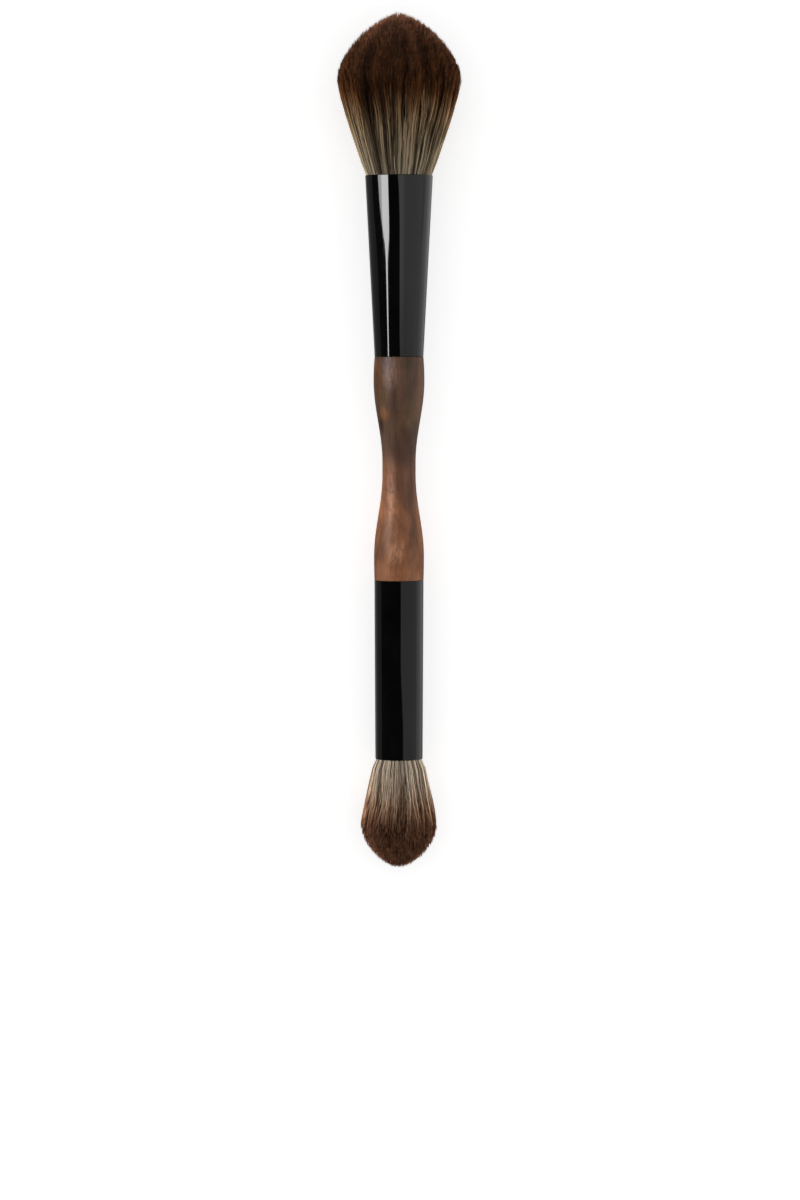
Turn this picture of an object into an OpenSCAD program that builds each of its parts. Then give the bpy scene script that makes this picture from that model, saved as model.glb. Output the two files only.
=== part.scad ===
// Double ended makeup brush, lying as it comes to rest on a flat surface.
// A turned walnut grip with a pinched waist carries a ferrule at each end. One holds a large
// pointed tuft of synthetic filament, the other a small round one. Sizes are in millimetres.
// The brush is drawn along its own axis, with z = 0 at the middle of the grip and the large
// head towards +Z, and is then laid down along +Y so that both heads press on the plane z = 0.

/* [Grip] */
// Length of bare wood between the two ferrules
handle_l = 52.3; // [44:0.1:64]
// Diameter of the pinched waist
waist_d = 7.8; // [6.5:0.1:9]
// Length over which the waist stays straight
waist_l = 3; // [1:0.5:8]
// Distance from the end of the wood to the fullest part of its shoulder
shoulder_l = 5.5; // [3:0.5:8]
// How far the shoulder beside the large ferrule swells beyond that ferrule
large_shoulder_rise = 0.25; // [0.1:0.05:0.8]
// How far the shoulder beside the small ferrule swells beyond that ferrule
small_shoulder_rise = 0.1; // [0:0.05:0.8]
// Radius of the eased edge where the wood meets a ferrule
wood_edge_r = 0.2; // [0.1:0.05:0.25]

/* [Tenons and glue] */
// Air left in a ferrule between the end of the tenon and the resin
tenon_air = 5; // [1:0.5:8]
// Least room for glue between a tenon and the bore round it
glue_gap = 0.12; // [0.08:0.01:0.25]
// Chamfer at the free end of a tenon
tenon_chamfer = 0.8; // [0.3:0.1:1.5]
// Number of glue grooves turned in each tenon
groove_count = 3; // [1:1:4]
// Depth of a glue groove
groove_depth = 0.5; // [0.2:0.1:0.8]
// Width of a glue groove at its mouth
groove_w = 1.6; // [0.8:0.1:2]

/* [Large ferrule] */
// Length of the large ferrule
large_ferrule_l = 42.2; // [40:0.1:52]
// Outer diameter of the large ferrule at its mouth
large_mouth_d = 15.8; // [14:0.1:18]
// Outer diameter of the large ferrule where it meets the wood
large_neck_d = 11.4; // [10.5:0.1:13]

/* [Small ferrule] */
// Length of the small ferrule
small_ferrule_l = 42; // [38:1:50]
// Outer diameter of the small ferrule at its mouth
small_mouth_d = 11.1; // [10.5:0.1:12.5]
// Outer diameter of the small ferrule where it meets the wood
small_neck_d = 11.5; // [10.8:0.1:12.5]

/* [Ferrule tube] */
// Wall of both drawn ferrule tubes
ferrule_wall = 0.3; // [0.25:0.05:0.4]

/* [Roots] */
// Room between the outermost filaments and the bore that holds them
root_gap = 0.03; // [0.02:0.01:0.1]
// Depth of the large tuft's roots below the ferrule's mouth
large_root_l = 15; // [8:1:20]
// Depth of the small tuft's roots below the ferrule's mouth
small_root_l = 14; // [8:1:19]
// Thickness of the cured resin that locks the roots
resin_l = 5; // [3:0.5:8]
// Hollow of the resin's free face, where it crept up the wall as it set
meniscus = 0.9; // [0.3:0.1:1.5]

/* [Large tuft] */
// Length of the large tuft outside its ferrule
large_tuft_l = 38; // [32:1:44]
// Greatest width of the large tuft
large_tuft_d = 28.8; // [26:0.2:32]
// Length of the large tuft's dome, from its widest ring to its tip
large_dome_l = 15.8; // [12:0.2:18]
// How sharply the large dome closes at its tip, from 0.5 for a blunt end to 1 for a sharp one
large_point = 0.68; // [0.5:0.01:1]
// How long the large dome stays wide, from 1.4 for straight sides to 2.4 for a full bulb
large_fullness = 1.7; // [1.4:0.05:2.4]

/* [Small tuft] */
// Length of the small tuft outside its ferrule
small_tuft_l = 25; // [22:1:30]
// Greatest width of the small tuft
small_tuft_d = 17.5; // [15:0.1:20]
// Length of the small tuft's dome, from its widest ring to its tip
small_dome_l = 10.5; // [7:0.1:12]
// How sharply the small dome closes at its tip, from 0.5 for a blunt end to 1 for a sharp one
small_point = 0.6; // [0.5:0.01:1]
// How long the small dome stays wide, from 1.4 for straight sides to 2.4 for a full bulb
small_fullness = 1.85; // [1.4:0.05:2.4]

/* [Filament] */
// Number of locks that the filaments of the large tuft gather into
large_locks = 40; // [24:8:40]
// Number of locks that the filaments of the small tuft gather into
small_locks = 28; // [16:4:28]
// Depth of the partings between the locks
lock_depth = 0.45; // [0.2:0.05:0.6]
// How far the cut tips stand above and below the dome
tip_rag = 0.4; // [0.1:0.05:0.5]
// How far the large tuft is pressed flat under the brush's own weight
large_press = 0.6; // [0.5:0.05:1]
// How far the small tuft is pressed flat under the brush's own weight
small_press = 0.5; // [0.45:0.05:0.8]

/* [Hidden] */
$fn = 96;
// Spacing of the points along the grip's turned outline
profile_step = 0.5;
// Eased outer edge of a ferrule where it meets the wood
bevel = 0.06;
// Rings of points along a tuft: in the ferrule, up the flank, and the bands over the dome
root_rings = 2;
flank_rings = 9;
dome_bands = 12;
points_per_lock = 4;
// How far the middle of a lock wanders sideways, in degrees
lock_drift = 2.2;
// How far the flank bows out from a straight cone, as a share of its rise
flank_bulge = 0.25;
// How far a cut tip leans outwards at the widest ring, as a share of its height
splay = 0.35;
// How much of a tip's height runs along the brush
tip_rise = 0.9;
// Starting numbers for the random spread of locks and tips
large_seed = 11;
small_seed = 23;
walnut = [0.42, 0.28, 0.21];
black_lacquer = [0.03, 0.03, 0.03];
filament_brown = [0.30, 0.20, 0.14];
cured_resin = [0.80, 0.66, 0.38];

// Where each part lies along the brush, from the middle of the grip
grip_half = handle_l / 2;
large_mouth_z = grip_half + large_ferrule_l;
small_mouth_z = grip_half + small_ferrule_l;
large_reach = large_mouth_z + large_tuft_l;
small_reach = small_mouth_z + small_tuft_l;
mid_z = (large_reach - small_reach) / 2;

// How the brush lies: the tilt at which both heads reach the surface, and its height
large_rest_z = large_reach - large_dome_l;
small_rest_z = -small_reach + small_dome_l;
rest_span = large_rest_z - small_rest_z;
rest_drop = (large_tuft_d - small_tuft_d) / 2;
tilt = atan2(rest_drop, rest_span)
    + asin((small_press - large_press) / norm([rest_span, rest_drop]));
axis_h = large_tuft_d / 2 * cos(tilt) - large_press - (large_rest_z - mid_z) * sin(tilt);

function blend(a, b, u) = a + (b - a) * (1 - cos(180 * u)) / 2;

// Outer radius of a ferrule and the radius of its bore, z above its neck
function tube_r(neck_d, mouth_d, l, z) = (neck_d + (mouth_d - neck_d) * z / l) / 2;
function large_bore_r(z) = tube_r(large_neck_d, large_mouth_d, large_ferrule_l, z) - ferrule_wall;
function small_bore_r(z) = tube_r(small_neck_d, small_mouth_d, small_ferrule_l, z) - ferrule_wall;
large_root_r = large_bore_r(large_ferrule_l - large_root_l) - root_gap;
small_root_r = small_bore_r(small_ferrule_l - small_root_l) - root_gap;

// Each tenon reaches up its ferrule to the air below the resin, and clears the bore's tight end
large_tenon_l = large_ferrule_l - large_root_l - resin_l - tenon_air;
small_tenon_l = small_ferrule_l - small_root_l - resin_l - tenon_air;
large_tenon_r = min(large_bore_r(0), large_bore_r(large_tenon_l)) - glue_gap;
small_tenon_r = min(small_bore_r(0), small_bore_r(small_tenon_l)) - glue_gap;

// Outline of a tenon with its glue grooves, from the wood's shoulder to its chamfer
function tenon_side(r, l) = concat(
    [[r, 0]],
    [for (n = [1:groove_count])
        let (z = l * n / (groove_count + 1))
        each [[r, z - groove_w / 2], [r - groove_depth, z - groove_w / 4],
              [r - groove_depth, z + groove_w / 4], [r, z + groove_w / 2]]],
    [[r, l - tenon_chamfer]]
);

// Radius of the grip, x from its waist, on the side whose ferrule has the neck radius given
function grip_r(x, neck_r, rise) =
    let (swell = grip_half - shoulder_l)
    x <= waist_l / 2 ? waist_d / 2
    : x <= swell ? blend(waist_d / 2, neck_r + rise, (x - waist_l / 2) / (swell - waist_l / 2))
    : neck_r + rise * (1 - pow((x - swell) / shoulder_l, 2));

// Outline of half the grip and its tenon, from the waist to the tip of the tenon
function half_handle(neck_d, rise, tenon_r, tenon_l) =
    let (
        last = grip_half - wood_edge_r,
        steps = ceil(last / profile_step),
        edge_x = grip_r(last, neck_d / 2, rise) - wood_edge_r
    )
    concat(
        [for (k = [0:steps]) let (x = last * k / steps) [grip_r(x, neck_d / 2, rise), x]],
        [for (a = [15:15:90]) [edge_x + wood_edge_r * cos(a), last + wood_edge_r * sin(a)]],
        [for (p = tenon_side(tenon_r, tenon_l)) [p.x, grip_half + p.y]],
        [[tenon_r - tenon_chamfer, grip_half + tenon_l], [0, grip_half + tenon_l]]
    );

function reversed(list) = [for (k = [len(list) - 1:-1:0]) list[k]];

// The two ends: local z = 0 is at the neck of the ferrule and +z points out of its mouth
module at_large_end() translate([0, 0, grip_half]) children();
module at_small_end() translate([0, 0, -grip_half]) rotate([180, 0, 0]) children();

// Lays the brush down along +Y at its resting height and tilt
module laid_down()
    translate([0, 0, axis_h]) rotate([tilt - 90, 0, 0]) translate([0, 0, -mid_z]) children();
function laid(p) =
    let (a = tilt - 90, z = p.z - mid_z)
    [p.x, p.y * cos(a) - z * sin(a), p.y * sin(a) + z * cos(a) + axis_h];

module handle() {
    large_half = half_handle(large_neck_d, large_shoulder_rise, large_tenon_r, large_tenon_l);
    small_half = half_handle(small_neck_d, small_shoulder_rise, small_tenon_r, small_tenon_l);
    color(walnut)
    laid_down()
    rotate_extrude()
    polygon(concat([for (p = reversed(small_half)) if (p.y > 0) [p.x, -p.y]], large_half));
}

// A drawn tube that tapers from neck to mouth, with a rounded lip and an eased neck
module ferrule(neck_d, mouth_d, l) {
    lip_r = ferrule_wall / 2;
    lip_z = l - lip_r;
    mouth_r = tube_r(neck_d, mouth_d, l, lip_z);
    color(black_lacquer)
    rotate_extrude()
    polygon(concat(
        [[neck_d / 2 - ferrule_wall, 0], [neck_d / 2 - bevel, 0],
         [tube_r(neck_d, mouth_d, l, bevel), bevel]],
        [for (a = [0:22.5:180]) [mouth_r - lip_r + lip_r * cos(a), lip_z + lip_r * sin(a)]]
    ));
}

module large_ferrule() laid_down() at_large_end() ferrule(large_neck_d, large_mouth_d, large_ferrule_l);
module small_ferrule() laid_down() at_small_end() ferrule(small_neck_d, small_mouth_d, small_ferrule_l);

// Cured glue round a tenon: it fills the grooves and the taper of the bore
module tenon_glue(tenon_r, tenon_l, neck_r, end_r) {
    color(cured_resin)
    rotate_extrude()
    polygon(concat(tenon_side(tenon_r, tenon_l), [[end_r, tenon_l - tenon_chamfer], [neck_r, 0]]));
}

module large_tenon_glue() laid_down() at_large_end()
    tenon_glue(large_tenon_r, large_tenon_l,
               large_bore_r(0), large_bore_r(large_tenon_l - tenon_chamfer));
module small_tenon_glue() laid_down() at_small_end()
    tenon_glue(small_tenon_r, small_tenon_l,
               small_bore_r(0), small_bore_r(small_tenon_l - tenon_chamfer));

// The resin plug under the roots. Its face towards the handle is hollow.
module resin(top_z, top_r, low_r) {
    low_z = top_z - resin_l;
    hollow_r = (low_r * low_r + meniscus * meniscus) / (2 * meniscus);
    color(cured_resin)
    difference() {
        translate([0, 0, low_z]) cylinder(r1 = low_r, r2 = top_r, h = resin_l);
        translate([0, 0, low_z + meniscus - hollow_r]) sphere(r = hollow_r);
    }
}

module large_resin() laid_down() at_large_end()
    let (z = large_ferrule_l - large_root_l) resin(z, large_bore_r(z), large_bore_r(z - resin_l));
module small_resin() laid_down() at_small_end()
    let (z = small_ferrule_l - small_root_l) resin(z, small_bore_r(z), small_bore_r(z - resin_l));

// How many points go round each ring of a tuft. The count halves twice towards the tip.
function ring_sides(ring, sides) =
    let (from_tip = root_rings + flank_rings + dome_bands - ring)
    from_tip <= 2 ? sides / 4 : from_tip <= 5 ? sides / 2 : sides;

// A tuft's outline as [radius, z above the mouth], for each ring from the root to the last
// ring below the tip. The rings share one numbering: root, flank, then dome.
function outline(root_r, mouth_r, root_l, l, d, dome_l, point, fullness) = concat(
    [[root_r, -root_l], [mouth_r, 0]],
    [for (k = [1:flank_rings])
        let (u = k / flank_rings)
        [mouth_r + (d / 2 - mouth_r) * (u + flank_bulge * u * (1 - u)), (l - dome_l) * u]],
    [for (k = [1:dome_bands - 1])
        let (t = sin(90 * k / dome_bands))
        [d / 2 * pow(1 - pow(t, fullness), point), l - dome_l + dome_l * t]]
);

// Triangles between two neighbouring rings that start at points a and b of the list. The
// upper ring has as many points as the lower one, or half as many.
function band(a, na, b, nb) = na == nb
    ? [for (i = [0:na - 1]) let (j = (i + 1) % na) each [[a + i, b + j, a + j], [a + i, b + i, b + j]]]
    : [for (i = [0:nb - 1])
        let (j = (i + 1) % nb, low = a + 2 * i, high = a + (2 * i + 2) % na)
        each [[low, b + i, low + 1], [low + 1, b + i, b + j], [low + 1, b + j, high]]];

// A bundle of filaments. It leaves the ferrule tight and smooth, parts into locks along its
// flank, and ends in cut tips of uneven height on its dome. end is 1 for the large head and
// -1 for the small one, and whatever would reach below the surface is pressed flat on it.
module tuft(end, mouth_z, rings, l, d, locks, seed) {
    sides = locks * points_per_lock;
    count = len(rings);
    starts = [for (k = 0, at = 0; k < count; at = at + ring_sides(k, sides), k = k + 1) at];
    tip_index = starts[count - 1] + ring_sides(count - 1, sides);
    groove = rands(0.45, 1, locks, seed);
    drift = rands(-lock_drift, lock_drift, locks, seed + 1);
    rag = rands(-1, 1, tip_index, seed + 2);
    first_tip = root_rings + flank_rings - 1;

    function grid_point(ring, i) =
        let (
            n = ring_sides(ring, sides),
            at = i * sides / n,
            lock = floor(at / points_per_lock),
            phase = (at % points_per_lock) / points_per_lock,
            open = max(0, min(1, (ring - 1) / 3)) * min(1, rings[ring].x / d * 2.4),
            parting = lock_depth * groove[lock] * open * (1 - cos(360 * phase)) / 2,
            angle = 360 * (at + 0.5) / sides + drift[lock] * open * sin(180 * phase),
            stagger = rag[starts[ring] + i] + (i + ring) % 2 - 0.5,
            cut = ring < first_tip ? 0 : tip_rag * stagger,
            lean = splay * 2 * rings[ring].x / d,
            r = rings[ring].x - parting + cut * lean,
            z = rings[ring].y + cut * tip_rise
        )
        placed([r * cos(angle), r * sin(angle), z]);
    function placed(p) =
        let (q = laid([p.x, end * p.y, end * (mouth_z + p.z)]))
        [q.x, q.y, max(0, q.z)];

    points = concat(
        [for (ring = [0:count - 1]) for (i = [0:ring_sides(ring, sides) - 1]) grid_point(ring, i)],
        [placed([0, 0, l])]
    );
    last = starts[count - 1];
    last_n = ring_sides(count - 1, sides);
    faces = concat(
        [[for (i = [0:sides - 1]) i]],
        [for (k = [0:count - 2])
            each band(starts[k], ring_sides(k, sides), starts[k + 1], ring_sides(k + 1, sides))],
        [for (i = [0:last_n - 1]) [last + i, tip_index, last + (i + 1) % last_n]]
    );
    color(filament_brown)
    polyhedron(points, faces);
}

module large_tuft() {
    mouth_r = large_bore_r(large_ferrule_l) - root_gap;
    rings = outline(large_root_r, mouth_r, large_root_l, large_tuft_l, large_tuft_d,
                    large_dome_l, large_point, large_fullness);
    tuft(1, large_mouth_z, rings, large_tuft_l, large_tuft_d, large_locks, large_seed);
}

module small_tuft() {
    mouth_r = small_bore_r(small_ferrule_l) - root_gap;
    rings = outline(small_root_r, mouth_r, small_root_l, small_tuft_l, small_tuft_d,
                    small_dome_l, small_point, small_fullness);
    tuft(-1, small_mouth_z, rings, small_tuft_l, small_tuft_d, small_locks, small_seed);
}

large_tuft();
large_resin();
large_ferrule();
large_tenon_glue();
handle();
small_tenon_glue();
small_ferrule();
small_resin();
small_tuft();
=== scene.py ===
import math
from dataclasses import dataclass

import bpy
import numpy as np
from mathutils import Matrix, Vector


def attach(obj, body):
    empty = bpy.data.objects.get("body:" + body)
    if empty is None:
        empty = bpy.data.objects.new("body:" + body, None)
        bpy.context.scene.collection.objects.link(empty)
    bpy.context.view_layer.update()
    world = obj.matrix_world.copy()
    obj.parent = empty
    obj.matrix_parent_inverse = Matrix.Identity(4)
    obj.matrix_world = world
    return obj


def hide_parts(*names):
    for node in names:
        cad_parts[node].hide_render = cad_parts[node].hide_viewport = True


# A double ended makeup brush that lies on a pale surface and is seen from above.
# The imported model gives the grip, the ferrules and the room that each head takes. This script
# lays filaments over the two heads and gives every surface its finish. Lengths are in metres.

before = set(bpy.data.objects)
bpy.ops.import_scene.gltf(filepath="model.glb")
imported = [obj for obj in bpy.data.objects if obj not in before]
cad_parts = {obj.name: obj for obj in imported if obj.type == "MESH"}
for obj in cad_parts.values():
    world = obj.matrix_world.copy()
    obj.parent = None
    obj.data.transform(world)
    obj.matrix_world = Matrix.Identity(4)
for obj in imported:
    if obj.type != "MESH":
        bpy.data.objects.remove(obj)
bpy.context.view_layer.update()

MM = 0.001
MAP_NAME = "OFBake"
MAP_HALF_W = 0.0015   # half of a filament's width on the map


# Sizes of the brush, as in the part's source

@dataclass(frozen=True)
class Head:
    """One end of the brush. Heights are measured out of the ferrule's mouth."""
    name: str
    end: int          # 1 for the head towards +Y, -1 for the other
    mouth: float      # from the middle of the grip to the ferrule's mouth
    bore_r: float     # radius of the bundle where it leaves the ferrule
    wide_r: float     # greatest radius
    reach: float      # length outside the ferrule
    dome_l: float     # from the widest ring to the tip
    point: float      # how sharply the dome closes at its tip
    fullness: float   # how long the dome stays wide
    press: float      # how far the underside is pressed flat
    locks: int        # bundles that the filaments gather into
    wave: float       # how far the filaments stray sideways
    rag: float        # how unevenly they end
    cut: float        # how far their ends stand above the outer surface on average
    puff: float       # how far they swell beyond the plain flank just outside the mouth
    dye_start: float  # height where the brown dye begins


HANDLE_L = 52.3 * MM   # bare wood between the ferrules
FLANK_BULGE = 0.25     # how far a flank bows out from a straight cone
PUFF_L = 1.5 * MM      # height at which the swelling outside the mouth is greatest
SPLAY = 0.10           # how far filaments lean outwards beyond the widest ring

LARGE = Head(
    name="large", end=1, mouth=HANDLE_L / 2 + 42.2 * MM, bore_r=7.57 * MM, wide_r=14.4 * MM,
    reach=38 * MM, dome_l=15.8 * MM, point=0.68, fullness=1.7, press=0.6 * MM, locks=84,
    wave=1.0 * MM, rag=1.0 * MM, cut=-0.35 * MM, puff=0.1 * MM, dye_start=14.6 * MM)
SMALL = Head(
    name="small", end=-1, mouth=HANDLE_L / 2 + 42 * MM, bore_r=5.22 * MM, wide_r=8.75 * MM,
    reach=25 * MM, dome_l=10.5 * MM, point=0.60, fullness=1.85, press=0.5 * MM, locks=58,
    wave=1.2 * MM, rag=0.65 * MM, cut=0.55 * MM, puff=0.35 * MM, dye_start=12.5 * MM)

# How the brush lies: both heads press on the plane z = 0, so its axis rises towards +Y
MIDDLE = (LARGE.mouth + LARGE.reach - SMALL.mouth - SMALL.reach) / 2
REST_LARGE = LARGE.mouth + LARGE.reach - LARGE.dome_l
REST_SMALL = SMALL.mouth + SMALL.reach - SMALL.dome_l
REST_SPAN = REST_LARGE + REST_SMALL
REST_DROP = LARGE.wide_r - SMALL.wide_r
TILT = (math.atan2(REST_DROP, REST_SPAN)
        + math.asin((SMALL.press - LARGE.press) / math.hypot(REST_SPAN, REST_DROP)))
AXIS_H = LARGE.wide_r * math.cos(TILT) - LARGE.press - (REST_LARGE - MIDDLE) * math.sin(TILT)


def to_row(across, up, along):
    """Points given across the brush, above its axis and along it, in the row's frame."""
    along = along - MIDDLE
    return np.stack([across,
                     along * math.cos(TILT) - up * math.sin(TILT),
                     along * math.sin(TILT) + up * math.cos(TILT) + AXIS_H], axis=-1)


def ease(x):
    """A smooth step from 0 at 0 to 1 at 1."""
    x = np.clip(x, 0, 1)
    return x * x * (3 - 2 * x)


def spread_r(head, height):
    """Radius at which the outermost filaments run, height above the ferrule's mouth."""
    flank_l = head.reach - head.dome_l
    u = np.clip(height / flank_l, 0, 1)
    puff = head.puff * ease(height / PUFF_L) * ease(1 - height / (6 * PUFF_L))
    return (head.bore_r + (head.wide_r - head.bore_r) * (u + FLANK_BULGE * u * (1 - u))
            + puff + SPLAY * np.maximum(height - flank_l, 0))


def surface_r(head, height):
    """Radius of the head's outer surface."""
    t = np.clip((height - head.reach + head.dome_l) / head.dome_l, 0, 1)
    dome = head.wide_r * (1 - t ** head.fullness) ** head.point
    return np.where(t > 0, dome, spread_r(head, height))


def tip_height(head, share):
    """Height at which a filament that stands at this share of the bundle's radius ends."""
    heights = np.linspace(head.reach, head.reach - head.dome_l, 400)
    shares = surface_r(head, heights) / spread_r(head, heights)
    return np.interp(share, shares, heights)


PRESS_BAND = 0.6 * MM   # height below which a filament gives way to the surface


def pressed(points):
    """Eases points that would reach below the surface to just above it."""
    z = points[..., 2]
    points[..., 2] = np.where(z < PRESS_BAND, PRESS_BAND * np.exp(z / PRESS_BAND - 1), z)
    return points


# Meshes

def new_mesh_object(name, points, faces, uv=None):
    """A smooth mesh object from an array of points and one of faces that all have as many
    corners, with a map if uv is given."""
    mesh = bpy.data.meshes.new(name)
    mesh.vertices.add(len(points))
    mesh.vertices.foreach_set("co", points.astype(np.float32).ravel())
    mesh.loops.add(faces.size)
    mesh.loops.foreach_set("vertex_index", faces.astype(np.int32).ravel())
    mesh.polygons.add(len(faces))
    starts = np.arange(0, faces.size, faces.shape[1], dtype=np.int32)
    mesh.polygons.foreach_set("loop_start", starts)
    mesh.update(calc_edges=True)
    if uv is not None:
        layer = mesh.uv_layers.new(name=MAP_NAME)
        layer.uv.foreach_set("vector", uv[faces.ravel()].astype(np.float32).ravel())
    mesh.validate()
    mesh.shade_smooth()
    made = bpy.data.objects.new(name, mesh)
    bpy.context.scene.collection.objects.link(made)
    return made


def unit(vectors):
    return vectors / np.linalg.norm(vectors, axis=-1, keepdims=True)


def filament_triangles(count, points):
    """Triangles of closed three-sided filaments with this many points each, the last a tip."""
    rings = points - 1
    faces = [[0, 2, 1]]
    for ring in range(rings - 1):
        for side in range(3):
            a, b = 3 * ring + side, 3 * ring + (side + 1) % 3
            faces += [[a, b, b + 3], [a, b + 3, a + 3]]
    last = 3 * (rings - 1)
    faces += [[last + side, last + (side + 1) % 3, last + 3] for side in range(3)]
    first = np.arange(count)[:, None, None] * (3 * rings + 1)
    return (np.array(faces)[None] + first).reshape(-1, 3)


def filament_object(name, paths, radii, tones, heights, rng):
    """One piece of many filaments. paths is (count, points, 3) in the row's frame, radii is
    (count, points), and tones and heights place each filament's colour on the shared map."""
    count, points = radii.shape
    along = unit(np.gradient(paths, axis=1))
    across = unit(np.cross(along, unit(rng.normal(size=(count, 1, 3)))))
    up = np.cross(along, across)
    rings = points - 1
    turn = np.arange(3) * 2 * math.pi / 3
    ring = (across[:, :rings, None] * np.cos(turn)[:, None]
            + up[:, :rings, None] * np.sin(turn)[:, None])
    ring = paths[:, :rings, None] + ring * radii[:, :rings, None, None]
    verts = np.concatenate([ring.reshape(count, -1, 3), paths[:, -1:]], axis=1)
    u = tones[:, None, None] + MAP_HALF_W * np.array([-1, 1, 0])
    u = np.broadcast_to(u, (count, rings, 3)).reshape(count, -1)
    v = np.repeat(heights[:, :rings], 3, axis=1)
    uv = np.stack([np.concatenate([u, tones[:, None]], axis=1),
                   np.concatenate([v, heights[:, -1:]], axis=1)], axis=-1)
    return new_mesh_object(name, verts.reshape(-1, 3), filament_triangles(count, points),
                           uv.reshape(-1, 2))


# The heads

DYED_SHARE = 0.85   # of the map's height goes to a filament, the rest to the last of its tip
GOLDEN = math.pi * (3 - math.sqrt(5))
CLUMP = 4           # filaments that gather at their tips
CLUMP_L = 6 * MM    # length over which they gather
TAPER_L = 5 * MM    # length over which a filament grows thinner
TIP_L = 4 * MM      # length of its lighter tip
BLUNT_L = 0.4 * MM  # length of its rounded tip
ROOT = -1.5 * MM    # where filaments begin, inside the ferrule
SUNK = 1.5 * MM     # how deep those begin of which only a part is made
STREAK_W = 0.45 * MM  # width of a streak of one tone, at the widest ring
JITTER = 0.3          # how far clumps stand off their even places, in gaps between clumps
LOOSE = 0.5           # how far filaments stand off their clump's middle, in the same gaps
GATHER = 0.7          # how far they draw together at their tips
PARTING = 0.38        # how far the filaments of a lock draw towards its middle
OUTSIDE = (0.55, 0.9)  # shares of the radius between which the locks grow distinct
LOCK_WAVE = (14, 26)  # millimetres after which a lock has wandered to one side and the other
CLUMP_WAVE = 11 * MM  # the same for a clump
TIP_SHIFT = 0.3       # how far towards the colour of the head's tip a filament's tip goes


def lock_of(angle, locks, rng):
    """For each angle, its lock's number and where it lies across that lock, from -1 to 1."""
    edges = np.sort((np.arange(locks) + rng.uniform(-0.36, 0.36, locks)) * 2 * math.pi / locks)
    edges = np.append(edges, edges[0] + 2 * math.pi)
    angle = (angle - edges[0]) % (2 * math.pi) + edges[0]
    number = np.clip(np.searchsorted(edges, angle, side="right") - 1, 0, locks - 1)
    middle = (edges[number] + edges[number + 1]) / 2
    return number, (angle - middle) / (edges[number + 1] - edges[number]) * 2


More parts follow.
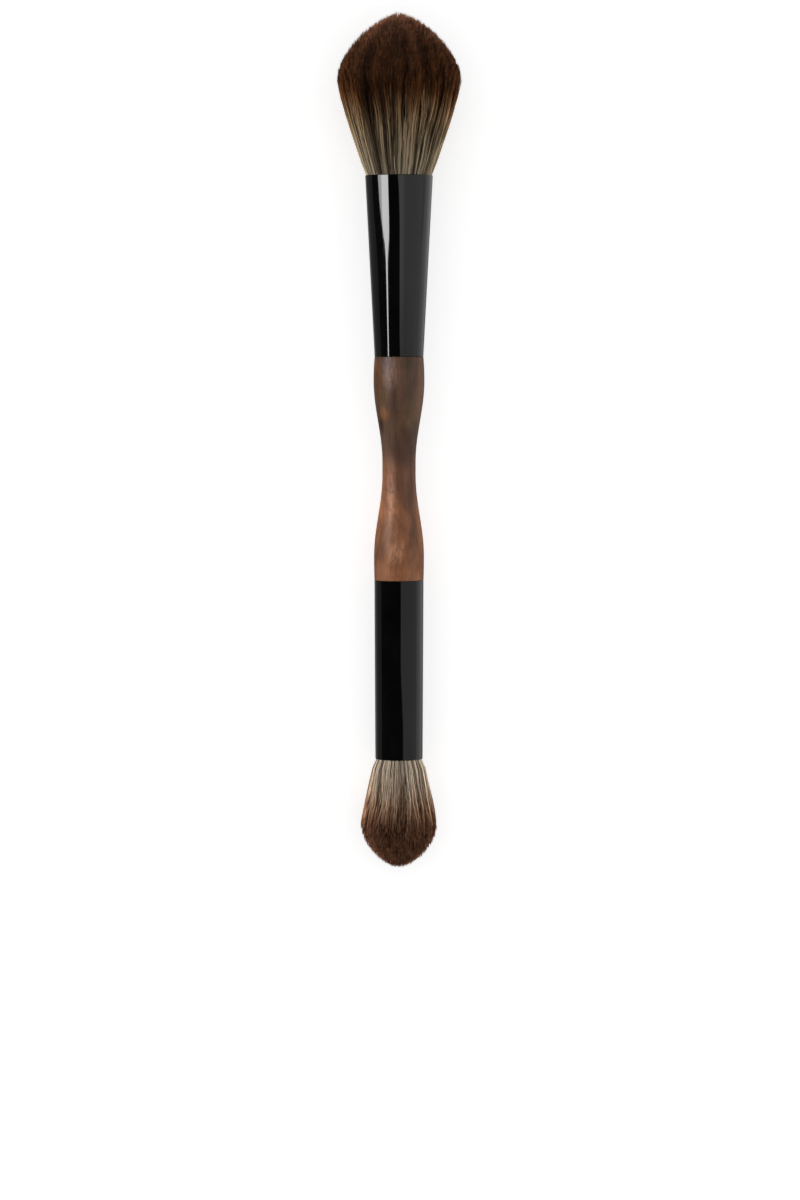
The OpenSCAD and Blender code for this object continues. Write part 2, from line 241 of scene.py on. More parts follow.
def grow(head, part, clumps, points, share_low, share_high, width, seed, shown_l=None):
    """Grows clumps of filaments whose share of the bundle's radius lies between the two given.
    Where there is a shown_l, only that length is made, because what is deeper never shows."""
    rng = np.random.default_rng(seed)
    lock_rng = np.random.default_rng(head.locks)
    locks = head.locks

    # Clumps are spread evenly, and each belongs to a lock
    area = share_high ** 2 - share_low ** 2
    gap = math.sqrt(math.pi * area / clumps)
    k = np.arange(clumps) + 0.5
    clump_share = np.sqrt(share_low ** 2 + area * k / clumps)
    clump_share = np.clip(clump_share + gap * rng.normal(0, JITTER, clumps), 0.01, 1)
    clump_angle = k * GOLDEN + gap * rng.normal(0, JITTER, clumps) / clump_share
    number, side = lock_of(clump_angle, locks, lock_rng)
    lock_tone = lock_rng.normal(0, 1, locks)[number]
    lock_dip_and_shade = (lock_rng.uniform(0, 1, locks) ** 2)[number]
    lock_phase = lock_rng.uniform(0, 2 * math.pi, locks)[number]
    lock_wave = lock_rng.uniform(*LOCK_WAVE, locks)[number] * MM
    lock_dye = lock_rng.normal(0, 1, locks)[number]
    streaks = lock_rng.normal(0, 1, round(2 * math.pi * head.wide_r / STREAK_W))
    turns = (clump_angle / (2 * math.pi)) % 1 * len(streaks)
    streak = np.interp(turns, np.arange(len(streaks) + 1), np.append(streaks, streaks[0]))
    clump_tone = rng.normal(0, 1, clumps)
    clump_rag = np.clip(rng.normal(0, 0.34, clumps), -0.95, 0.55)
    clump_phase = rng.uniform(0, 2 * math.pi, clumps)
    clump_drift = rng.normal(0, 1, clumps)
    clump_dye = rng.normal(0, 1, clumps)

    # Filaments stand about their clump's middle
    c = np.repeat(np.arange(clumps), CLUMP)
    count = len(c)
    off_share, off_side = gap * rng.normal(0, LOOSE, (2, count))
    own_rag = np.clip(rng.normal(-0.1, 0.15, count), -0.5, 0.1)
    end = tip_height(head, clump_share)[c] + head.cut + head.rag * (clump_rag[c] + own_rag)
    last = (end - BLUNT_L)[:, None]
    if shown_l is None:
        rise = last * np.linspace(0, 1, points - 2) ** 1.1
        height = np.concatenate([np.full((count, 1), ROOT), rise, end[:, None]], axis=1)
    else:
        first = (end - shown_l * rng.uniform(0.8, 1.0, count))[:, None]
        rise = first + (last - first) * np.linspace(0, 1, points - 1)
        height = np.concatenate([rise, end[:, None]], axis=1)
    to_tip = end[:, None] - height
    opened = np.clip(height / head.reach * 2.4, 0, 1)
    apart = 1 - GATHER * ease(1 - to_tip / CLUMP_L)
    share = np.clip(clump_share[c][:, None] + off_share[:, None] * apart, 0, 1)
    turn = clump_angle[c][:, None] + (off_side / clump_share[c])[:, None] * apart

    # Locks part, wander and stand deeper or shallower, most of all on the outside
    outer = ease((clump_share - OUTSIDE[0]) / (OUTSIDE[1] - OUTSIDE[0]))[c][:, None]
    lock_half = math.pi / locks
    turn = turn - PARTING * opened * outer * (side * lock_half)[c][:, None]
    radius = share * spread_r(head, height)
    stray = (0.30 * np.sin(lock_phase[c][:, None] + 2 * math.pi * height / lock_wave[c][:, None])
             * outer
             + 0.16 * np.sin(clump_phase[c][:, None] + 2 * math.pi * height / CLUMP_WAVE)
             + (0.45 * clump_drift[c] + 0.4 * rng.normal(size=count))[:, None]
             * height / head.reach)
    turn = turn + head.wave * stray * opened / np.maximum(radius, 3 * MM)
    dip = (-0.24 + 0.55 * lock_dip_and_shade + 0.30 * np.abs(side) ** 3)[c][:, None] * outer
    radius = radius - dip * opened * MM
    if shown_l is not None:
        radius = radius - SUNK * np.clip(to_tip / shown_l, 0, 1) ** 2
    radius = radius + 0.09 * MM * opened * np.cos(clump_phase[c][:, None] * 3 + height / (3 * MM))
    along = head.end * (head.mouth + height)
    paths = to_row(radius * np.sin(turn), radius * np.cos(turn), along)

    taper = 0.4 + 0.6 * ease(to_tip / TAPER_L)
    radii = width / 2 * taper * rng.uniform(0.6, 1.2, count)[:, None]

    # Tone and dye differ by lock, streak, clump and filament, and locks that lie deeper are
    # painted darker, a painted shade
    tone = (0.5 + (0.06 * lock_tone - 0.06 * lock_dip_and_shade)[c] * outer[:, 0]
            + (0.12 * streak + 0.17 * clump_tone)[c] + 0.08 * rng.normal(size=count))
    shift = (0.7 * lock_dye + 0.7 * clump_dye)[c] + 0.5 * rng.normal(size=count)
    map_height = height + TIP_SHIFT * ease(1 - to_tip / TIP_L) * (head.reach - end)[:, None]
    map_height = (map_height + shift[:, None] * MM) / head.reach
    map_height = np.clip(map_height, 0.005, 1) * DYED_SHARE
    last_height = np.minimum(map_height[:, -2] + rng.uniform(0.06, 0.15, count), 1)
    map_height[:, -1] = last_height
    return filament_object(f"{head.name}_tuft_{part}", pressed(paths), radii,
                           np.clip(tone, 0.01, 0.99), map_height, rng)


def core(head, inset, sides=160, rings=60):
    """The dark inside of a head, which shows between the filaments as painted shade."""
    rng = np.random.default_rng(head.locks + 3)
    height = np.concatenate([[ROOT], np.linspace(0, head.reach - inset, rings)])
    eased = np.clip((height - ROOT) / (4 * MM), 0, 1) * inset
    scale = (head.reach - inset) / head.reach
    radius = np.maximum(surface_r(head, height / scale) - eased - 0.05 * MM, 0.02 * MM)
    angle = np.arange(sides) * 2 * math.pi / sides
    flute = rng.uniform(-0.15, 0.15, sides) * MM
    r = radius[:, None] + flute * np.clip(height / head.reach * 3, 0, 1)[:, None]
    r = np.maximum(r, 0.01 * MM)
    along = head.end * (head.mouth + height)
    points = to_row(r * np.sin(angle), r * np.cos(angle), np.broadcast_to(along[:, None], r.shape))
    ends = to_row(np.zeros(2), np.zeros(2), along[[0, -1]])
    points = np.concatenate([pressed(points).reshape(-1, 3), pressed(ends)])
    i = np.arange(sides)
    j = (i + 1) % sides
    faces = []
    for k in range(len(height) - 1):
        low, high = k * sides, (k + 1) * sides
        faces += [np.stack([low + i, high + j, low + j], 1),
                  np.stack([low + i, high + i, high + j], 1)]
    bottom = len(height) * sides
    last = bottom - sides
    faces += [np.stack([i, j, np.full(sides, bottom)], 1),
              np.stack([last + j, last + i, np.full(sides, bottom + 1)], 1)]
    return new_mesh_object(f"{head.name}_tuft_core", points, np.concatenate(faces)[:, ::head.end])


# Materials

def linear(red, green, blue):
    """A colour given as the eye reads it, from 0 to 255, as the linear colour of a shader."""
    def one(c):
        c = c / 255
        return c / 12.92 if c <= 0.04045 else ((c + 0.055) / 1.055) ** 2.4
    return one(red), one(green), one(blue), 1.0


class Finish:
    """A material that is built up from nodes with short calls."""

    def __init__(self, name):
        self.material = bpy.data.materials.new(name)
        self.material.use_nodes = True
        self.tree = self.material.node_tree
        self.shader = self.tree.nodes["Principled BSDF"]

    def add(self, kind, inputs=(), **settings):
        """Adds a node, links or sets its inputs, and returns it."""
        node = self.tree.nodes.new(kind)
        for key, value in settings.items():
            setattr(node, key, value)
        for key, value in dict(inputs).items():
            self.put(node, key, value)
        return node

    def put(self, node, key, value):
        if isinstance(value, bpy.types.NodeSocket):
            self.tree.links.new(value, node.inputs[key])
        else:
            node.inputs[key].default_value = value

    def set(self, **inputs):
        """Sets or links the shader's inputs, with underscores for the spaces in their names."""
        for key, value in inputs.items():
            self.put(self.shader, key.replace("_", " "), value)

    def math(self, operation, a, b=0.0, c=0.0):
        node = self.add("ShaderNodeMath", {0: a, 1: b, 2: c}, operation=operation)
        return node.outputs[0]

    def ramp(self, value, *stops):
        """A colour ramp. Each stop is (place, colour)."""
        node = self.add("ShaderNodeValToRGB", {"Fac": value})
        elements = node.color_ramp.elements
        while len(elements) < len(stops):
            elements.new(1.0)
        for element, (place, colour) in zip(elements, stops):
            element.position = place
            element.color = colour
        return node.outputs["Color"]

    def fade(self, value, low, high, to_low=0.0, to_high=1.0):
        """to_low at low, to_high at high, with a smooth step between."""
        if low > high:
            low, high, to_low, to_high = high, low, to_high, to_low
        node = self.add("ShaderNodeMapRange",
                        {"Value": value, 1: low, 2: high, 3: to_low, 4: to_high},
                        interpolation_type="SMOOTHSTEP")
        return node.outputs[0]

    def mix(self, amount, a, b, blend="MIX"):
        node = self.add("ShaderNodeMix", data_type="RGBA", blend_type=blend)
        for key, value in ((0, amount), (6, a), (7, b)):
            self.put(node, key, value)
        return node.outputs[2]

    def tint(self, amount, colour, red, green, blue):
        """The colour, multiplied by three factors as far as amount says."""
        return self.mix(amount, colour, self.mix(1.0, colour, (red, green, blue, 1), "MULTIPLY"))

    def noise(self, where, scale=1.0, detail=2.0, roughness=0.5, distortion=0.0):
        node = self.add("ShaderNodeTexNoise", {"Vector": where, "Scale": scale, "Detail": detail,
                                               "Roughness": roughness, "Distortion": distortion})
        return node.outputs["Fac"]

    def stretched(self, where, across, down, along, lean=0.0):
        """The brush's own coordinates, scaled by a count of features for each metre. lean
        turns the features away from the brush's length, in degrees."""
        node = self.add("ShaderNodeMapping", {"Vector": where, "Scale": (across, down, along),
                                              "Rotation": (0, math.radians(lean), 0)})
        return node.outputs[0]

    def uneven(self, place, across, along):
        """Noise about zero on the filaments' map, with this many features across and along it."""
        scaled = self.add("ShaderNodeMapping", {"Vector": place, "Scale": (across, along, 1)})
        return self.math("SUBTRACT", self.noise(scaled.outputs[0], detail=3, roughness=0.6), 0.5)

    def brush_space(self):
        """Coordinates across, below and along the brush, from its axis and middle, in metres."""
        place = self.add("ShaderNodeTexCoord").outputs["Object"]
        moved = self.add("ShaderNodeVectorMath", {0: place, 1: (0, 0, -AXIS_H)}).outputs[0]
        return self.add("ShaderNodeVectorRotate", {"Vector": moved, "Angle": math.pi / 2 - TILT},
                        rotation_type="X_AXIS").outputs[0]

    def part_of(self, where, axis):
        return self.add("ShaderNodeSeparateXYZ", {0: where}).outputs[axis]

    def bump(self, height, strength, distance):
        node = self.add("ShaderNodeBump", {"Height": height, "Strength": strength,
                                           "Distance": distance})
        self.set(Normal=node.outputs[0])


@dataclass(frozen=True)
class Look:
    """How a head's filament is coloured. Places are on the map's height."""
    colours: tuple    # (share of the height where the dye begins, place beyond it, colour)
    contrast: float   # of the streaks
    painted_side_glow: tuple        # how far round to the side the painted glow reaches: from, to
    painted_side_glow_share: tuple  # how much of that painted glow it gives where it is pale, and where it is dyed
    askew: tuple      # where the dye begins lower: (from, to, by how much), across the brush


LOOKS = {
    "large": Look(
        colours=((0.0, 0.0, (109, 99, 82)), (0.6, 0.0, (107, 92, 71)), (1.0, -0.03, (98, 77, 53)),
                 (1.0, 0.05, (68, 43, 20)), (1.0, 0.12, (54, 28, 6)), (0.0, 0.70, (62, 36, 17)),
                 (0.0, 0.79, (92, 59, 40)), (0.0, 0.90, (150, 102, 78))),
        contrast=1.35, painted_side_glow=(0.45, 0.9), painted_side_glow_share=(0.5, 1.2), askew=()),
    "small": Look(
        colours=((0.0, 0.0, (171, 158, 141)), (0.6, 0.0, (168, 148, 128)),
                 (1.0, -0.03, (140, 108, 84)), (1.0, 0.08, (106, 77, 59)),
                 (1.0, 0.18, (90, 60, 43)), (0.0, 0.80, (82, 54, 37)), (0.0, 0.95, (126, 80, 56))),
        contrast=1.2, painted_side_glow=(0.7, 1.0), painted_side_glow_share=(0.0, 1.0),
        askew=((-3 * MM, -8 * MM, 0.09), (4 * MM, 9 * MM, 0.04))),
}
DYE_SPAN = (-0.03, 0.12)   # from taupe to brown, about the place where the dye begins
PAINTED_SIDE_GLOW_GAIN = 1.8             # how much lighter the side of a head is painted, a painted glow for light that comes through


def filament_finish(head):
    """Synthetic filament: pale taupe at the ferrule, dyed brown over the rest, with a lighter,
    redder tip. The pale ones keep their taupe longest. Towards the sides of the head it is
    painted lighter, a painted glow for light that comes through, and along each filament it is
    painted lighter and darker, a painted highlight and shade of wavy strands. The map's u is a
    filament's tone, its v the height."""
    f = Finish(f"{head.name}_filament")
    look = LOOKS[head.name]
    place = f.add("ShaderNodeUVMap", uv_map=MAP_NAME).outputs[0]
    tone, height = f.part_of(place, 0), f.part_of(place, 1)
    where = f.brush_space()
    across = f.part_of(where, 0)
    own = f.math("SUBTRACT", tone, 0.5)

    # Where along the filament the colours lie
    dye = head.dye_start / head.reach * DYED_SHARE
    span = [dye + step for step in DYE_SPAN]
    shifted = f.math("MULTIPLY_ADD", f.uneven(place, 170, 9), 0.14, height)
    shifted = f.math("MULTIPLY_ADD", own, -0.08, shifted)
    for begin, full, earlier in look.askew:
        shifted = f.math("ADD", shifted, f.fade(across, begin, full, 0.0, earlier))
    colour = f.ramp(shifted, *[(share * dye + beyond, linear(*seen))
                               for share, beyond, seen in look.colours])

    # Lighter and darker filaments, a tone that differs at random; the unevenness along each length
    # is painted highlight and shade of wavy strands
    level = f.math("MULTIPLY_ADD", f.uneven(place, 310, 12), 0.5, own)
    light = f.ramp(f.math("MULTIPLY_ADD", level, look.contrast, 0.5),
                   (0.0, (0.08, 0.07, 0.06, 1)), (0.25, (0.28, 0.26, 0.24, 1)),
                   (0.50, (0.94, 0.94, 0.94, 1)), (0.75, (1.55, 1.53, 1.50, 1)),
                   (1.0, (1.9, 1.87, 1.83, 1)))
    colour = f.mix(1.0, colour, light, "MULTIPLY")

    # Painted light at the sides, which stands in for light that comes through there
    flat = f.add("ShaderNodeVectorMath", {0: where, 1: (1, 1, 0)}, operation="MULTIPLY").outputs[0]
    radius = f.add("ShaderNodeVectorMath", {0: flat}, operation="LENGTH").outputs["Value"]
    side = f.math("DIVIDE", f.math("ABSOLUTE", across), radius)
    painted_side_glow = f.math("MULTIPLY", f.fade(side, *look.painted_side_glow), f.fade(shifted, *span, *look.painted_side_glow_share))
    f.set(Base_Color=f.tint(painted_side_glow, colour, PAINTED_SIDE_GLOW_GAIN, PAINTED_SIDE_GLOW_GAIN, PAINTED_SIDE_GLOW_GAIN), Roughness=0.5,
          Specular_IOR_Level=0.08)
    return f.material


def core_painted_shade_finish(head):
    """Packed filament painted dark as painted shade inside the head: dark streaks along the head.
    """
    f = Finish(f"{head.name}_core")
    place = f.brush_space()
    streaks = f.noise(f.stretched(place, 5200, 5200, 160), detail=3, roughness=0.6)
    height = f.math("SUBTRACT", f.math("MULTIPLY", f.part_of(place, 2), float(head.end)),
                    head.mouth - head.end * MIDDLE)
    dyed = f.fade(height, head.dye_start - 3 * MM, head.dye_start + 4 * MM)
    pale = f.ramp(streaks, (0.3, linear(30, 25, 18)), (0.75, linear(84, 74, 58)))
    dark = f.ramp(streaks, (0.3, linear(18, 10, 5)), (0.75, linear(50, 29, 17)))
    f.set(Base_Color=f.mix(dyed, pale, dark), Roughness=0.75, Specular_IOR_Level=0.2)
    f.bump(streaks, 0.6, 0.2 * MM)
    return f.material


def lacquer_finish():
    """Gloss black lacquer on drawn tube, with the faint unevenness that lacquer has."""
    f = Finish("black_lacquer")
    place = f.brush_space()
    drawn = f.noise(f.stretched(place, 900, 900, 60), detail=2)
    clouds = f.noise(f.stretched(place, 140, 140, 90), detail=4, roughness=0.6)
    f.set(Base_Color=f.ramp(clouds, (0.3, linear(3, 3, 3)), (0.7, linear(8, 8, 8))),
          Roughness=f.fade(clouds, 0.3, 0.75, 0.03, 0.06), IOR=1.5)
    f.bump(drawn, 0.02, 0.02 * MM)
    return f.material


# Clouds in the walnut, and painted highlights among them: place across and along the brush, half
# their size both ways, in millimetres, and the factors by which they change its red, green and
# blue
CLOUDS_AND_PAINTED_HIGHLIGHTS = (
    (-3.6, 6.1, 2.0, 2.4, (1.65, 1.35, 0.8)),      # orange knot
    (-4.3, 10.4, 1.8, 3.4, (0.95, 1.0, 0.7)),      # olive cloud above it
    (-5.4, 14.5, 1.4, 6.5, (1.4, 1.2, 0.9)),       # orange edge above that
    (-4.6, 3.6, 1.4, 2.4, (0.7, 0.68, 0.65)),      # dark cloud below the knot
    (-2.5, 16.2, 3.0, 6.0, (2.2, 2.45, 3.0)),      # painted highlight, a grey gleam below the large ferrule
    (1.6, -1.5, 3.4, 7.5, (0.66, 0.63, 0.65)),     # dark cloud at the waist
    (1.2, -14.6, 1.6, 3.6, (0.78, 0.75, 0.76)),    # smaller one below it
    (-1.7, -14.5, 1.3, 11.0, (1.5, 1.6, 1.8)),     # painted highlight, a pale streak along the waist
    (-4.2, -25.5, 2.0, 4.5, (0.64, 0.64, 0.66)),   # dark cloud at the lower left
    (-1.1, -26.0, 2.5, 3.8, (2.0, 2.3, 2.7)),      # painted highlight, a pale cloud beside it
    (4.2, -28.0, 2.8, 4.5, (0.76, 0.74, 0.7)),     # dark cloud at the lower right
)


def walnut_finish():
    """Turned walnut under satin lacquer: cloudy figure, streaks of grain, dark pores, pale
    flecks, a knot of orange at the upper left, and lighter and redder towards the small head.
    Painted highlights lie below the large ferrule and along the waist, and the left of the
    middle is painted lighter as painted light."""
    f = Finish("walnut")
    place = f.brush_space()
    across, along = f.part_of(place, 0), f.part_of(place, 2)
    bent = f.math("SUBTRACT", f.noise(f.stretched(place, 130, 130, 45), detail=2), 0.5)
    bend = f.add("ShaderNodeCombineXYZ", {0: f.math("MULTIPLY", bent, 5 * MM),
                                          1: f.math("MULTIPLY", bent, -4 * MM)}).outputs[0]
    wander = f.add("ShaderNodeVectorMath", {0: place, 1: bend}).outputs[0]
    figure = f.noise(f.stretched(wander, 150, 150, 48, lean=8), detail=4, roughness=0.55,
                     distortion=0.5)
    grain = f.noise(f.stretched(wander, 1300, 1300, 60), detail=4, roughness=0.6)
    fine = f.noise(f.stretched(place, 4200, 4200, 420, lean=14), detail=2, roughness=0.6)
    warm = f.fade(along, -10 * MM, -20 * MM)
    wood = f.mix(f.fade(along, 0, -9 * MM), linear(69, 50, 39), linear(83, 55, 40))
    wood = f.mix(warm, wood, linear(108, 70, 46))
    wood = f.tint(f.fade(figure, 0.54, 0.32), wood, 0.50, 0.50, 0.55)
    wood = f.tint(f.fade(figure, 0.50, 0.74), wood, 1.70, 1.55, 1.35)
    # Painted light: the left of the grip's middle is painted lighter, as lit from the left
    side = f.math("MULTIPLY", f.fade(along, -6 * MM, 6 * MM), f.fade(across, 2 * MM, -4 * MM))
    wood = f.tint(side, wood, 1.12, 1.04, 0.96)
    streaked = f.noise(f.stretched(wander, 1500, 1500, 500, lean=-30), detail=3, roughness=0.7)
    streaked = f.fade(streaked, 0.38, 0.6, 0.15, 1.0)
    # Paler wood and a painted highlight, mottled by the streaks, on the left of the waist
    waist = f.math("MULTIPLY", f.fade(along, -1 * MM, -7 * MM), f.fade(along, -22 * MM, -14 * MM))
    waist = f.math("MULTIPLY", waist, f.fade(across, 0.5 * MM, -2.5 * MM))
    waist = f.math("MULTIPLY", waist, f.math("MULTIPLY_ADD", streaked, 0.6, 0.4))
    wood = f.tint(waist, wood, 1.8, 1.66, 1.46)
    olive = f.noise(f.stretched(wander, 230, 230, 110, lean=-20), detail=3)
    wood = f.tint(f.fade(olive, 0.52, 0.66, 0.0, 0.8), wood, 0.72, 0.82, 0.72)
    above = f.fade(f.part_of(place, 1), 1 * MM, -1 * MM)
    for x, y, wide, long, tint in CLOUDS_AND_PAINTED_HIGHLIGHTS:
        spot = f.add("ShaderNodeMapping", {
            "Vector": wander, "Location": (-x / wide * MM, 0, -y / long * MM),
            "Scale": (1 / wide, 0, 1 / long)}).outputs[0]
        gap = f.add("ShaderNodeVectorMath", {0: spot}, operation="LENGTH").outputs["Value"]
        amount = f.math("MULTIPLY", f.fade(gap, 1.0 * MM, 0.3 * MM), above)
        # the painted highlights are mottled by the streaks
        if min(tint) > 1:
            amount = f.math("MULTIPLY", amount, streaked)
        wood = f.tint(amount, wood, *tint)
    wood = f.tint(f.fade(grain, 0.35, 0.7, 0.0, 0.5), wood, 0.58, 0.54, 0.52)
    fleck = f.math("MULTIPLY", f.fade(fine, 0.56, 0.74, 0.0, 0.6), f.fade(warm, 0, 1, 0.3, 1.0))
    wood = f.tint(fleck, wood, 1.75, 1.65, 1.5)
    pores = f.add("ShaderNodeTexVoronoi",
                  {"Vector": f.stretched(wander, 2300, 2300, 480, lean=16), "Scale": 1.0},
                  feature="F1").outputs["Distance"]
    patch = f.fade(f.noise(f.stretched(place, 320, 320, 160), detail=2), 0.42, 0.58)
    pore = f.math("MULTIPLY", f.fade(pores, 0.24, 0.10), patch)
    wood = f.mix(f.math("MULTIPLY", pore, 0.45), wood, linear(32, 20, 15))
    f.set(Base_Color=wood, Roughness=f.math("MULTIPLY_ADD", grain, 0.2, 0.45),
          Specular_IOR_Level=0.05, Coat_Weight=0.22, Coat_Roughness=0.3)
    f.bump(f.math("ADD", f.math("MULTIPLY", pore, -1.0), f.math("MULTIPLY", fine, 0.4)),
           0.3, 0.06 * MM)
    return f.material


def resin_finish():
    """Cured adhesive, amber and faintly clouded."""
    f = Finish("cured_resin")
    clouds = f.noise(f.stretched(f.brush_space(), 300, 300, 300), detail=4)
    f.set(Base_Color=f.ramp(clouds, (0.3, linear(196, 158, 92)), (0.7, linear(222, 190, 128))),
          Roughness=f.fade(clouds, 0.3, 0.7, 0.15, 0.3), IOR=1.55)
    f.bump(clouds, 0.2, 0.1 * MM)
    return f.material


def wear(piece, material):
    piece.data.materials.clear()
    piece.data.materials.append(material)


# Dressing the heads

def dress(head, *pieces):
    """Puts a head's pieces on the brush in place of its plain solid."""
    filament, dark = filament_finish(head), core_painted_shade_finish(head)
    for piece in pieces:
        wear(piece, dark if piece.name.endswith("core") else filament)
        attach(piece, "root")
        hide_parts(f"{head.name}_tuft")


dress(LARGE,
      core(LARGE, inset=1.2 * MM),
      grow(LARGE, "flank_a", clumps=850, points=9, share_low=0.82, share_high=1.0,
           width=0.17 * MM, seed=101),
      grow(LARGE, "flank_b", clumps=850, points=9, share_low=0.84, share_high=1.0,
           width=0.17 * MM, seed=102),
      grow(LARGE, "dome_a", clumps=2500, points=4, share_low=0.0, share_high=0.96,
           width=0.18 * MM, seed=103, shown_l=9 * MM),
      grow(LARGE, "dome_b", clumps=2500, points=4, share_low=0.0, share_high=0.96,
           width=0.18 * MM, seed=104, shown_l=9 * MM))
dress(SMALL,
      core(SMALL, inset=1.0 * MM),
      grow(SMALL, "flank", clumps=700, points=9, share_low=0.78, share_high=1.0,
           width=0.15 * MM, seed=201),
      grow(SMALL, "dome", clumps=2200, points=4, share_low=0.0, share_high=0.98,
           width=0.16 * MM, seed=202, shown_l=8 * MM))

# Dressing the rigid pieces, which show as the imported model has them

lacquer, walnut, resin = lacquer_finish(), walnut_finish(), resin_finish()
for name, material in {
    "large_ferrule": lacquer, "small_ferrule": lacquer, "handle": walnut,
    "large_resin": resin, "small_resin": resin,
    "large_tenon_glue": resin, "small_tenon_glue": resin,
}.items():
    wear(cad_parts[name], material)


# Stage

FLOOR_W = 4.0
FLOOR_GLOW = 0.63   # what the floor adds to the light that falls on it


def floor_finish():
    """A plain pale surface. In the lacquer it shows dimmer, a painted shadow of the brush in its
    reflection: dimmest under the brush, brighter on the right than on the left, and there only
    near the brush, as in the photograph."""
    f = Finish("pale_floor")
    place = f.add("ShaderNodeTexCoord").outputs["Object"]
    paper = f.noise(place, scale=900, detail=3)
    f.set(Base_Color=f.ramp(paper, (0.3, (0.88, 0.88, 0.88, 1)), (0.7, (0.92, 0.92, 0.92, 1))),
          Roughness=0.8, Specular_IOR_Level=0.1, Emission_Color=(1, 1, 1, 1),
          Emission_Strength=FLOOR_GLOW)
    x, y = f.part_of(place, 0), f.part_of(place, 1)
    # Painted shadow in the floor's reflection: the glow that glossy rays see is dimmed near the
    # brush
    width = f.fade(y, 15 * MM, 55 * MM, 300 * MM, 70 * MM)
    away = f.math("ABSOLUTE", x)
    near = f.math("LESS_THAN", away, width)
    left = f.math("MULTIPLY", f.fade(away, 8 * MM, 11 * MM, 0.06, 0.34),
                  f.fade(away, 14 * MM, 18 * MM, 1.0, 0.42))
    left = f.math("MULTIPLY", near, left)
    right = f.math("MULTIPLY", f.fade(near, 0, 1, 0.55, 0.75),
                   f.fade(away, 13 * MM, 17 * MM, 0.4, 1.0))
    strength = f.mix(f.fade(x, -3 * MM, 3 * MM), left, right)
    glow = f.add("ShaderNodeEmission", {"Strength": strength}).outputs[0]
    mirrored = f.add("ShaderNodeLightPath").outputs["Is Glossy Ray"]
    both = f.add("ShaderNodeMixShader", {0: mirrored, 1: f.shader.outputs[0], 2: glow}).outputs[0]
    f.put(f.tree.nodes["Material Output"], "Surface", both)
    return f.material


def floor():
    half = FLOOR_W / 2
    corners = np.array([[-half, -half, 0], [half, -half, 0], [half, half, 0], [-half, half, 0]])
    made = new_mesh_object("floor", corners, np.array([[0, 1, 2, 3]]))
    wear(made, floor_finish())
    return made


# Camera: the photograph's frame, and where the brush lies in it
PHOTO_H = 1200
PHOTO_W = 800
BRUSH_TOP_PX, BRUSH_END_PX, BRUSH_X_PX = 14.6, 866.0, 399.0
CAMERA_FAR = 1118 * MM
CAMERA_LEAN = math.radians(1.5)
SENSOR = 36.0


def camera():
    """A long lens that looks down on the brush, with the large head at the top."""
    length = LARGE.mouth + LARGE.reach + SMALL.mouth + SMALL.reach
    pixel = length / (BRUSH_END_PX - BRUSH_TOP_PX)
    below = (PHOTO_H / 2 - (BRUSH_TOP_PX + BRUSH_END_PX) / 2) * pixel
    aim = to_row((PHOTO_W / 2 - BRUSH_X_PX) * pixel, 0.0, MIDDLE - below)
    data = bpy.data.cameras.new("camera")
    data.sensor_width = SENSOR
    data.lens = SENSOR * CAMERA_FAR / (PHOTO_H * pixel)
    made = bpy.data.objects.new("camera", data)
    made.location = aim + CAMERA_FAR * np.array([0, math.sin(CAMERA_LEAN), math.cos(CAMERA_LEAN)])
    made.rotation_euler = (-CAMERA_LEAN, 0, 0)
    bpy.context.scene.collection.objects.link(made)
    bpy.context.scene.camera = made


# Light. What the lacquer mirrors and what lights the rest are apart, so that each can be set.
KEY_GLOW = 12.5   # the bright card on the left
DIM_GLOW = 0.53   # the card over the right, at its dimmest
SKY_GLOW = 0.4    # what the sky gives to all but the lacquer


def only_mirrored(card, strength):
    """Makes a mesh a glowing card that only glossy surfaces see."""
    f = Finish(card.name)
    glow = f.add("ShaderNodeEmission", {"Strength": strength(f)}).outputs[0]
    f.put(f.tree.nodes["Material Output"], "Surface", glow)
    wear(card, f.material)
    for ray in ("camera", "diffuse", "transmission", "volume_scatter", "shadow"):
        setattr(card, f"visible_{ray}", False)


def key_card():
    """The bright card on the left. Its lower edge runs out into a thin strip, which draws the
    funnel of light on the large ferrule. Its outline is given across the card and along Y."""
    turn, far = math.radians(-55), 0.40
    outline = [(-158, 300), (-156, 38), (-144, 31), (-116, 25), (-72, 18), (-31, 12), (2, 8),
               (17, 3), (19, -7), (15, -17), (12, -30), (44, -30), (56, -17), (64, -7),
               (70, -1), (96, 1), (126, 3), (134, 6), (132, 12), (126, 18), (124, 23), (124, 300)]
    across, y = np.array(outline).T * MM
    towards = np.array([math.sin(turn), 0, math.cos(turn)])
    sideways = np.array([math.cos(turn), 0, -math.sin(turn)])
    points = np.array([0, 0, AXIS_H]) + far * towards + across[:, None] * sideways
    points[:, 1] = y
    card = new_mesh_object("key_card", points, np.arange(len(points))[None])

    def strength(f):
        place = f.add("ShaderNodeTexCoord").outputs["Object"]
        left = f.fade(f.part_of(place, 0), -0.375, -0.345, 0.55, 1.0)
        return f.math("MULTIPLY", left, KEY_GLOW)
    only_mirrored(card, strength)


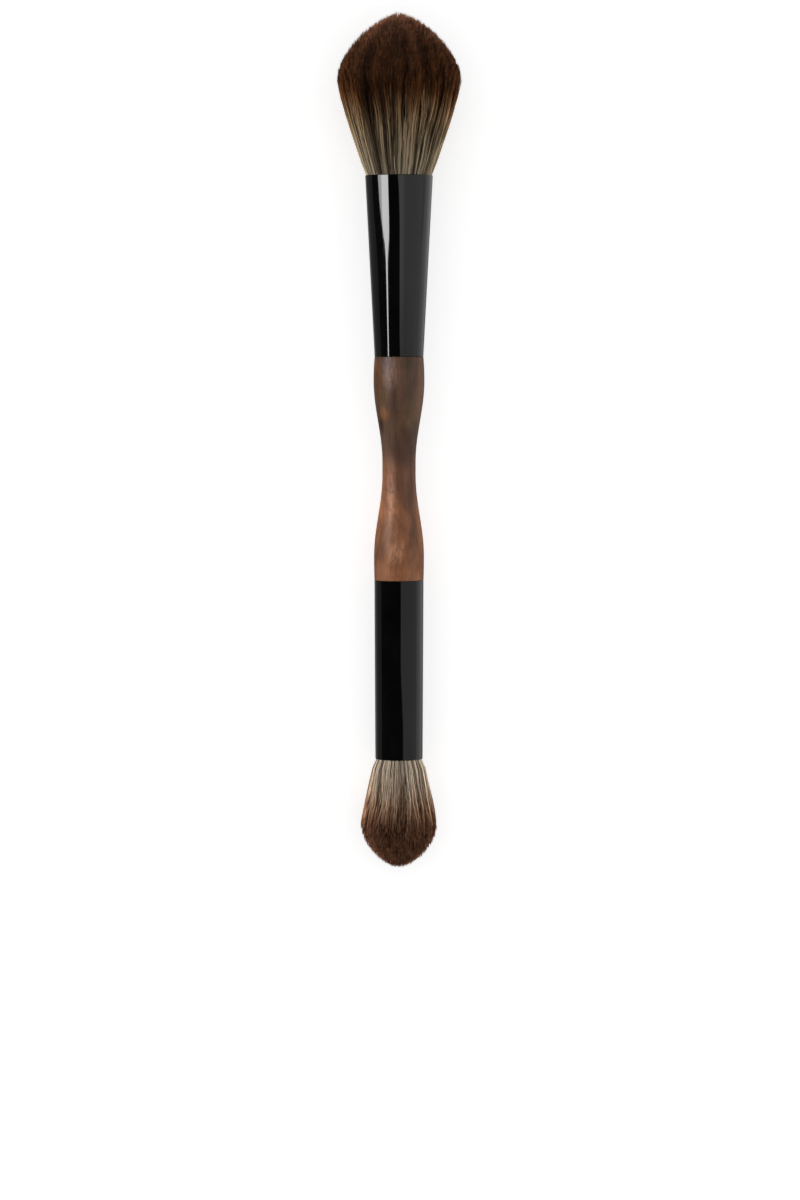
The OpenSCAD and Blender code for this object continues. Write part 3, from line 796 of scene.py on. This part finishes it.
def right_card():
    """The dim card that curves over the right side, from overhead to the surface. Its rows are
    given as (Y, angle from straight up at which the card begins)."""
    far = 0.60
    rows = [(600, -4.5), (1, -4.5), (-8, 0), (-15, 2.7), (-58, 2.7), (-76, 8.4), (-122, 8.4),
            (-131, 14), (-141, 20), (-600, 20)]
    columns = 24
    angle = np.radians(np.linspace([begin for _, begin in rows], 89.9, columns, axis=1))
    y = np.broadcast_to(np.array([[y] for y, _ in rows]) * MM, angle.shape)
    points = np.stack([far * np.sin(angle), y, AXIS_H + far * np.cos(angle)], axis=-1)
    a = (np.arange(len(rows) - 1)[:, None] * columns + np.arange(columns - 1)).ravel()
    faces = np.stack([a, a + 1, a + columns + 1, a + columns], axis=1)
    card = new_mesh_object("right_card", points.reshape(-1, 3), faces)

    def strength(f):
        place = f.add("ShaderNodeTexCoord").outputs["Object"]
        x, y = f.part_of(place, 0), f.part_of(place, 1)
        upper = f.fade(y, -85 * MM, -20 * MM, 0.0, 1.0)
        overhead = f.fade(x, 0.26, 0.10, 0.18, 0.55)
        return f.math("MULTIPLY_ADD", upper, overhead, DIM_GLOW)
    only_mirrored(card, strength)


def soft_box(name, angle, far, size, radiance, spared=None):
    """A soft box that lights the brush from an angle, positive to the right of straight up, and
    isn't mirrored. A spared object gets none of its light, so that no shadow falls on it."""
    data = bpy.data.lights.new(name, "AREA")
    data.shape = "RECTANGLE"
    data.size, data.size_y = size
    data.energy = radiance * math.pi * size[0] * size[1]
    made = bpy.data.objects.new(name, data)
    turn = math.radians(angle)
    back = Vector((math.sin(turn), 0, math.cos(turn)))
    along = Vector((0, 1, 0))
    made.rotation_euler = Matrix((along.cross(back), along, back)).transposed().to_euler()
    made.location = Vector((0, 0, AXIS_H)) + back * far
    made.visible_camera = made.visible_glossy = False
    bpy.context.scene.collection.objects.link(made)
    if spared:
        group = bpy.data.collections.new(f"{name}_spares")
        group.objects.link(spared)
        made.light_linking.receiver_collection = group
        group.collection_objects[0].light_linking.link_state = "EXCLUDE"


def sky():
    """White to the camera, black in the lacquer and an even glow on the rest."""
    world = bpy.data.worlds.new("studio")
    bpy.context.scene.world = world
    world.use_nodes = True
    tree = world.node_tree
    back = tree.nodes["Background"]
    path = tree.nodes.new("ShaderNodeLightPath")
    strength = tree.nodes.new("ShaderNodeMath")
    strength.operation = "MULTIPLY_ADD"
    strength.inputs[1].default_value = SKY_GLOW
    tree.links.new(path.outputs["Is Diffuse Ray"], strength.inputs[0])
    tree.links.new(path.outputs["Is Camera Ray"], strength.inputs[2])
    tree.links.new(strength.outputs[0], back.inputs["Strength"])
    back.inputs["Color"].default_value = (1, 1, 1, 1)


surface = floor()
camera()
key_card()
right_card()
soft_box("overhead", angle=0, far=1.5, size=(1.8, 1.8), radiance=0.3)
soft_box("left", angle=-70, far=0.7, size=(0.5, 0.9), radiance=5.5, spared=surface)
soft_box("right", angle=68, far=0.7, size=(0.5, 0.9), radiance=4.2, spared=surface)
sky()
bpy.context.scene.view_settings.view_transform = "Standard"
bpy.context.scene.view_settings.look = "None"
